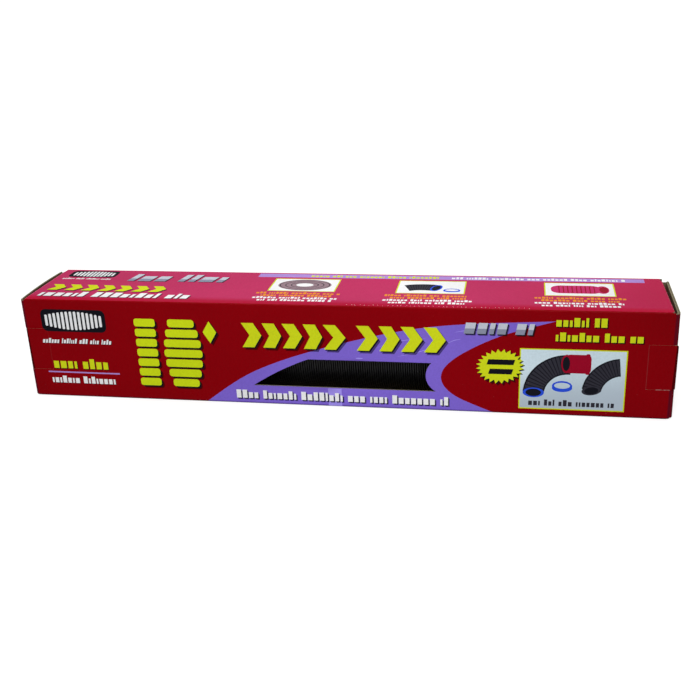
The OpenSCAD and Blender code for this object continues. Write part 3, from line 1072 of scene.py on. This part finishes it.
def cuff_motif(centre):
    """A crimson ribbed connector."""
    art = [(rounded_bar(centre - 26, 49, centre + 20, 72, 9), "rose")]
    for i in range(9):
        art.append((bar(centre - 19 + i * 4, 50, centre - 18 + i * 4, 71), "crimson"))
    return art + [(oval(centre + 21, 60.5, 6, 11), "rose"), (oval(centre + 22, 60.5, 4, 8.4), "crimson")]


def back_print():
    """A plain stripe, lines of blocks and a bent hose near each end."""
    art = [(bar(-285, 83, 285, 92), "lilac")] + painted(words(-270, 270, 85, 5.2, 81), "white")
    for row in range(4):
        art += painted(words(-120, 120, 60 - row * 11, 6.4, 82 + row), "white")
    for x in (-205, 205):
        art += ribbed_bend((x, 34), 20, 8, 180, 0, 15)
        art += open_end(x - 20, 33, 8.2, 4.2, "blue") + open_end(x + 20, 33, 8.2, 4.2, "charcoal")
    return to_wall(art, UP)


def end_print():
    """Two yellow rings with dark shadows, between two lines of blocks."""
    art = []
    for ring, shadow, hole in ((21, 16, 15), (12, 7.5, 6.6)):
        art += [(oval(50, 50, ring), "lime"), (oval(50, 50, shadow), "dark"),
                (oval(50, 50, hole), "flap_red")]
    art += shadowed(words(20, 80, 79, 8.0, 90), "yellow", 0.6, -0.6)
    return art + shadowed(words(20, 82, 16, 6.4, 91), "white", 0.5, -0.5)


# ---- carton ----

TAB_GAP = 0.09                          # width of the cuts that free the lock tabs
TOP_EASE = 1.2                          # how far the front wall's folded ends stop short of its top
FOOT_EASE = 0.7                         # and of its foot
SPRING = {"right": 1.6, "left": 0.9}    # how far an end flap springs out at its front fold
BOW = {"right": 0.3, "left": 1.5}       # and bows in its middle
LEAN = {"right": -0.9, "left": 1.0}     # and stands further out at its top than at its foot
FLAP_THICK = {"right": 2.3, "left": 1.6}    # an end flap's board with its crushed, fluffed edges
TAB_SHORT = {"right": 0.0, "left": 2.4}     # how much of a lock tab's end is curled out of sight


def keep(piece, body, node):
    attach(piece, body)
    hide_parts(node)


def both_ends(side):
    """An outline from its right half, given from its foot up."""
    return side + [(-u, v) for u, v in side[::-1]]


def reach_of(half):
    """How far a wall reaches from its middle in the flat, with its share of two folds."""
    return half - EDGE_R + EDGE_LEN


def front_outline():
    """The front wall, with its end folds and the cut-outs for the lock tabs."""
    reach = reach_of(UP)
    end = FOLD_X + CREASE_LEN
    low, high = tab_low.z - TAB_GAP - UP, tab_high.z + TAB_GAP - UP
    foot, top = FOOT_EASE - UP, UP - TOP_EASE
    return both_ends([(FOLD_X, -reach), (FOLD_X, foot), (end, foot), (end, low), (tab_low.x, low),
                      (tab_low.x, high), (end, high), (end, top), (FOLD_X, top), (FOLD_X, reach)])


def flat_outline():
    """The top or bottom wall, with folded ends where the dust flaps join it."""
    reach = reach_of(DEEP)
    end = DUST_X + DUST_LEN
    front, back = dust_low.y - MIDDLE_Y, dust_high.y - MIDDLE_Y
    return both_ends([(DUST_X, -reach), (DUST_X, front), (end, front), (end, back), (DUST_X, back),
                      (DUST_X, reach)])


def fold_columns(start, length):
    """Lines along a wall's end folds, at both ends, that keep them round."""
    inner = spread(start, start + length, 4)[:-1]
    return inner + [-u for u in inner]


def walls(front_art):
    """The four long walls, and the strip that glues the last one to the back."""
    front = board_piece("front_wall", front_outline(), front_place, "red", front_art, [window_loop()],
                        wall_rows(UP), fold_columns(FOLD_X, CREASE_LEN))
    keep(front, "carton", "front_panel")
    lines = {"rows": wall_rows(DEEP), "columns": fold_columns(DUST_X, DUST_LEN)}
    top = board_piece("top_wall", flat_outline(), top_place, "top_red", top_print(), **lines)
    keep(top, "carton", "top_panel")
    bottom = board_piece("bottom_wall", flat_outline(), bottom_place, "flap_red", **lines)
    keep(bottom, "carton", "bottom_panel")
    flat_back = bar(-TUBE, -reach_of(UP), TUBE, reach_of(UP))
    back = board_piece("back_wall", flat_back, back_place, "red", back_print(), rows=wall_rows(UP))
    keep(back, "carton", "back_panel")
    half, slope = seam_high.x, (seam_high.z - seam_low.z) / 2
    low, high = seam_low.z, seam_high.z
    seam = [(-half, low), (half, low), (half - slope, high), (slope - half, high)]
    strip = board_piece("glue_strip", seam, lambda u, v, depth: (u, seam_high.y - depth, v), "flap_red")
    keep(strip, "carton", "seam_flap")


def flap_path(hand):
    """Section of an end flap in plan: it springs out past its front fold, bows to the lip's fold
    and takes half of that fold."""
    spring, bow = SPRING[hand], BOW[hand]
    turn = FOLD_R * math.sin(HALF_TURN)
    points = [(FOLD_X + turn, FOLD_Y - turn), (FLAP_X + 0.45 * spring, FOLD_Y - 0.9)]
    for k in (0.018, 0.08, 0.2, 0.35, 0.5, 0.65, 0.8, 0.92, 1.0):
        x = FLAP_X + (LIP_X + FOLD_R - FLAP_X) * k + spring * (1 - k) + bow * 4 * k * (1 - k)
        points.append((x, FOLD_Y + (LIP_Y - FOLD_Y) * k))
    return [curve_piece(points), arc_piece((LIP_X, LIP_Y), FOLD_R, 0, 45)]


def path_length(path):
    return sum(length for length, _ in path)


def upright(path, bowed=lambda u, v: 0.0):
    """Places a flap whose section path is a plan, and which stands bowed further out."""
    def place(u, v, depth):
        x, y = follow(path, u, depth)
        return x + bowed(u, v), y, v
    return place


def sided(side, place):
    """place for the right-hand end, mirrored for the left."""
    def at(u, v, depth):
        x, y, z = place(u, v, depth)
        return side * x, y, z
    return at


def end_flap(hand, side):
    """The flap that closes an end, notched in front for the lock tab."""
    path = flap_path(hand)
    length = path_length(path)
    crease = length - CREASE_LEN
    front_ease, lip_ease = 4, 30

    def leaning(u, v):
        free = min(1.0, u / front_ease) * min(1.0, max(0.0, crease - u) / lip_ease)
        return LEAN[hand] * free * (v / HEIGHT - 0.5)

    notch = CREASE_LEN + NOTCH_Y - FOLD_Y
    low, high = tab_low.z - TAB_GAP, tab_high.z + TAB_GAP
    z0, z1 = flap_low.z, flap_high.z
    outline = [(0, z0), (length, z0), (length, z1), (0, z1),
               (0, high), (notch, high), (notch, low), (0, low)]
    bend = 6
    columns = [*spread(0, bend, 8)[1:], *spread(bend, crease, 12)[1:], *spread(crease, length, 4)[1:-1]]
    flap = board_piece(f"{hand}_flap", outline, sided(side, upright(path, leaning)), "flap_red",
                       end_print(), columns=columns, thick=FLAP_THICK[hand])
    keep(flap, f"{hand}_end_flap", f"{hand}_end_flap")


def tuck_lip(hand, side):
    """The end flap's lip, which tucks in behind the back wall."""
    path = [arc_piece((LIP_X, LIP_Y), FOLD_R, 45, 90),
            line_piece((LIP_X, lip_high.y), (lip_low.x, lip_high.y), (0, 1))]
    far, cut = path_length(path), 8.0
    low, high = lip_low.z, lip_high.z
    outline = [(0, low), (far - cut, low), (far, low + cut),
               (far, high - cut), (far - cut, high), (0, high)]
    lip = board_piece(f"{hand}_lip", outline, sided(side, upright(path)), "flap_red",
                      columns=spread(0, CREASE_LEN, 4)[1:])
    keep(lip, f"{hand}_tuck_lip", f"{hand}_tuck_lip")


def dust_outline(far):
    """A dust flap in the flat, cut back on a slope in front and a little behind."""
    cut, back_cut, front_lean = 5.0, 3.0, 0.76
    y0, y1 = dust_low.y, dust_high.y
    front, back = y0 + front_lean * (HEIGHT - dust_low.z), y1 - back_cut
    return [(0, y0), (DUST_LEN, y0), (far - cut, front - front_lean * cut), (far, front + cut),
            (far, back - cut), (far - cut, back), (DUST_LEN, y1), (0, y1)]


def dust_flaps(hand, side):
    """The two inner flaps of an end."""
    path = [arc_piece((DUST_X, HEIGHT - DUST_R), DUST_R, 45, 0),
            line_piece((TUBE, HEIGHT - DUST_R), (TUBE, dust_low.z), (1, 0))]

    def top_place(u, v, depth):
        x, z = follow(path, u, depth)
        return x + bulge(side * x), v, z

    def bottom_place(u, v, depth):
        x, z = follow(path, u, depth)
        return x, v, HEIGHT - z

    for level, place in (("top", top_place), ("bottom", bottom_place)):
        dust = board_piece(f"{hand}_{level}_dust", dust_outline(path_length(path)), sided(side, place),
                           "flap_red", columns=spread(0, DUST_LEN, 4)[1:])
        keep(dust, f"{hand}_{level}_dust_flap", f"{hand}_{level}_dust_flap")


def lock_tab(hand, side, front_art):
    """The tab that holds the end shut. It carries on the front wall's print."""
    groove, reach = 0.3, 0.9            # depth and width of the score that it turns on
    droop, curl = 0.9, 2.2              # and of the curl at its end
    corner = 1.2
    x0, x1, z0, z1 = tab_low.x, tab_high.x - TAB_SHORT[hand], tab_low.z, tab_high.z

    def place(u, v, depth):
        dip = groove * max(0.0, 1 - (u - x0) / reach) + droop * max(0.0, (u - x1 + curl) / curl) ** 2
        return u, FRONT + dip + depth, v

    outline = [(x0, z0), (x1 - corner, z0), (x1, z0 + corner),
               (x1, z1 - corner), (x1 - corner, z1), (x0, z1)]
    art = [([(side * u, v + UP) for u, v in shape], colour) for shape, colour in front_art
           if max(side * u for u, _ in shape) > x0]
    # Painted shade: a dark wedge over the tab's curled end, wider at its foot.
    art.append(([(x1 - 3.0, z0), (x1 + 1, z0), (x1 + 1, z1), (x1 - 1.7, z1)], "shade"))
    columns = [x0 + reach / 3, x0 + reach, x1 - curl, x1 - curl / 2]
    tab = board_piece(f"{hand}_tab", outline, sided(side, place), "red", art, columns=columns, grid=9.0)
    keep(tab, f"{hand}_lock_tab", f"{hand}_lock_tab")


# ---- hose ----

def around(rings, sides, closed=False):
    """Faces between rings of points that follow each other."""
    faces = []
    for i in range(rings if closed else rings - 1):
        j = (i + 1) % rings
        for k in range(sides):
            m = (k + 1) % sides
            faces.append((i * sides + k, i * sides + m, j * sides + m, j * sides + k))
    return faces


def lathe(name, profile, sides, finish):
    """Turns a closed profile of (along, radius) round the hose's axis."""
    points = []
    for along, radius in profile:
        for k in range(sides):
            a = 2 * math.pi * k / sides
            points.append((along * MM, radius * math.cos(a) * MM, (HOSE_Z + radius * math.sin(a)) * MM))
    mesh = bpy.data.meshes.new(name)
    mesh.from_pydata(points, [], around(len(profile), sides, closed=True))
    shape = bmesh.new()
    shape.from_mesh(mesh)
    bmesh.ops.recalc_face_normals(shape, faces=shape.faces)
    shape.to_mesh(mesh)
    shape.free()
    return link(name, mesh, [finish], 40.0)


def ribbed_hose():
    """The vinyl pushed together: rounded ribs with a narrow valley between each pair."""
    uneven, dip = 0.12, 0.35            # how far ribs differ in width, and in height
    rib = ((0.0, 0.0), (0.12, 0.62), (0.28, 0.92), (0.5, 1.0), (0.72, 0.92), (0.88, 0.62))
    start, end = skin_low.x, skin_high.x
    crest = (skin_high.z - skin_low.z) / 2
    valley = crest - RIB_HIGH
    dice = random.Random(3)
    widths = [1 + dice.uniform(-uneven, uneven) for _ in range(RIBS)]
    scale = (end - start) / sum(widths)
    profile, at = [], start
    for width in widths:
        high = crest - dice.uniform(0.0, dip)
        for along, share in rib:
            profile.append((at + along * width * scale, valley + (high - valley) * share))
        at += width * scale
    profile.append((end, valley))
    profile += [(x, BORE) for x in spread(end, start, 24)]
    keep(lathe("ribbed_hose", profile, 62, "vinyl"), "hose", "hose_skin")


def wire_path(turn_r):
    """A coil along the hose that ends in short straight tails."""
    steps, tail = 30, 3.0
    half = skin_high.x - tail
    path = []
    for i in range(RIBS * steps + 1):
        a = 2 * math.pi * i / steps
        x = -half + 2 * half * i / (RIBS * steps)
        path.append(Vector((x, turn_r * math.cos(a), HOSE_Z + turn_r * math.sin(a))))
    return [path[0] - Vector((tail, 0, 0)), *path, path[-1] + Vector((tail, 0, 0))]


def steel_wire():
    """The hose's wire, close wound against the vinyl."""
    radius, clear, sides = 0.75, 0.3, 5
    path = wire_path(BORE - clear - radius)
    points = []
    for i, p in enumerate(path):
        tangent = (path[min(i + 1, len(path) - 1)] - path[max(i - 1, 0)]).normalized()
        spoke = Vector((0, p.y, p.z - HOSE_Z)).normalized()
        u = (spoke - tangent * spoke.dot(tangent)).normalized()
        v = tangent.cross(u)
        for k in range(sides):
            a = 2 * math.pi * k / sides
            points.append((p + (u * math.cos(a) + v * math.sin(a)) * radius) * MM)
    last = (len(path) - 1) * sides
    ends = [tuple(range(sides))[::-1], tuple(range(last, last + sides))]
    mesh = bpy.data.meshes.new("steel_wire")
    mesh.from_pydata([tuple(p) for p in points], [], around(len(path), sides) + ends)
    keep(link("steel_wire", mesh, ["wire"], 80.0), "hose", "wire_helix")


def offset(x, radius, steps):
    """Points of a profile, each set off along and outwards from one place."""
    return [(x + along, radius + out) for along, out in steps]


def hose_cuff(hand, side):
    """A plain end of the hose, with a bead at each rim and three shallow grooves."""
    x0, x1 = cuff_low.x, cuff_high.x
    outer = (cuff_high.z - cuff_low.z) / 2
    profile = [(x0, BORE), *offset(x0, outer, ((0, 0.1), (1.6, 0.7), (3.6, 0.6), (4.6, 0)))]
    for k in range(3):
        profile += offset(x0 + 9 + k * 5.5, outer, ((0, 0), (0.5, -0.45), (1.5, -0.45), (2.0, 0)))
    profile += offset(x1, outer, ((-4.2, 0), (-3.4, 0.6), (-1.2, 0.75), (-0.2, 0.35), (0, -0.3)))
    profile += [(x1, BORE + 0.2), (x1 - 0.2, BORE)]
    cuff = lathe(f"{hand}_hose_cuff", [(side * x, r) for x, r in profile], 96, "vinyl")
    keep(cuff, "hose", f"{hand}_cuff")


def sizing_ring(hand, side):
    """A ring with four low ridges, pushed into the cuff up to its rim."""
    x0, x1 = ring_low.x, ring_high.x
    rim = (ring_high.z - ring_low.z) / 2
    body, stop = BORE - 0.05, x1 - 1.5
    profile = [(x0, RING_BORE + 0.5), *offset(x0, body, ((0, -0.6), (0.6, -0.1)))]
    for k in range(4):
        profile += offset(x0 + 3 + k * 3.6, body, ((0, -0.3), (0.7, 0), (1.1, 0), (1.8, -0.3)))
    profile += offset(stop, body, ((-0.6, -0.1), (0, 0))) + offset(stop, rim, ((0, -0.3), (0.3, 0)))
    profile += offset(x1, rim, ((-0.4, 0), (0, -0.4)))
    profile += [(x1, RING_BORE + 1.2), (x1 - 1.2, RING_BORE), (x0 + 0.5, RING_BORE)]
    ring = lathe(f"{hand}_ring", [(side * x, r) for x, r in profile], 96, "ring")
    keep(ring, "hose", f"{hand}_sizing_ring")


front_art = front_print()
walls(front_art)
for hand, side in (("right", 1), ("left", -1)):
    end_flap(hand, side)
    tuck_lip(hand, side)
    dust_flaps(hand, side)
    lock_tab(hand, side, front_art)
    hose_cuff(hand, side)
    sizing_ring(hand, side)
ribbed_hose()
steel_wire()
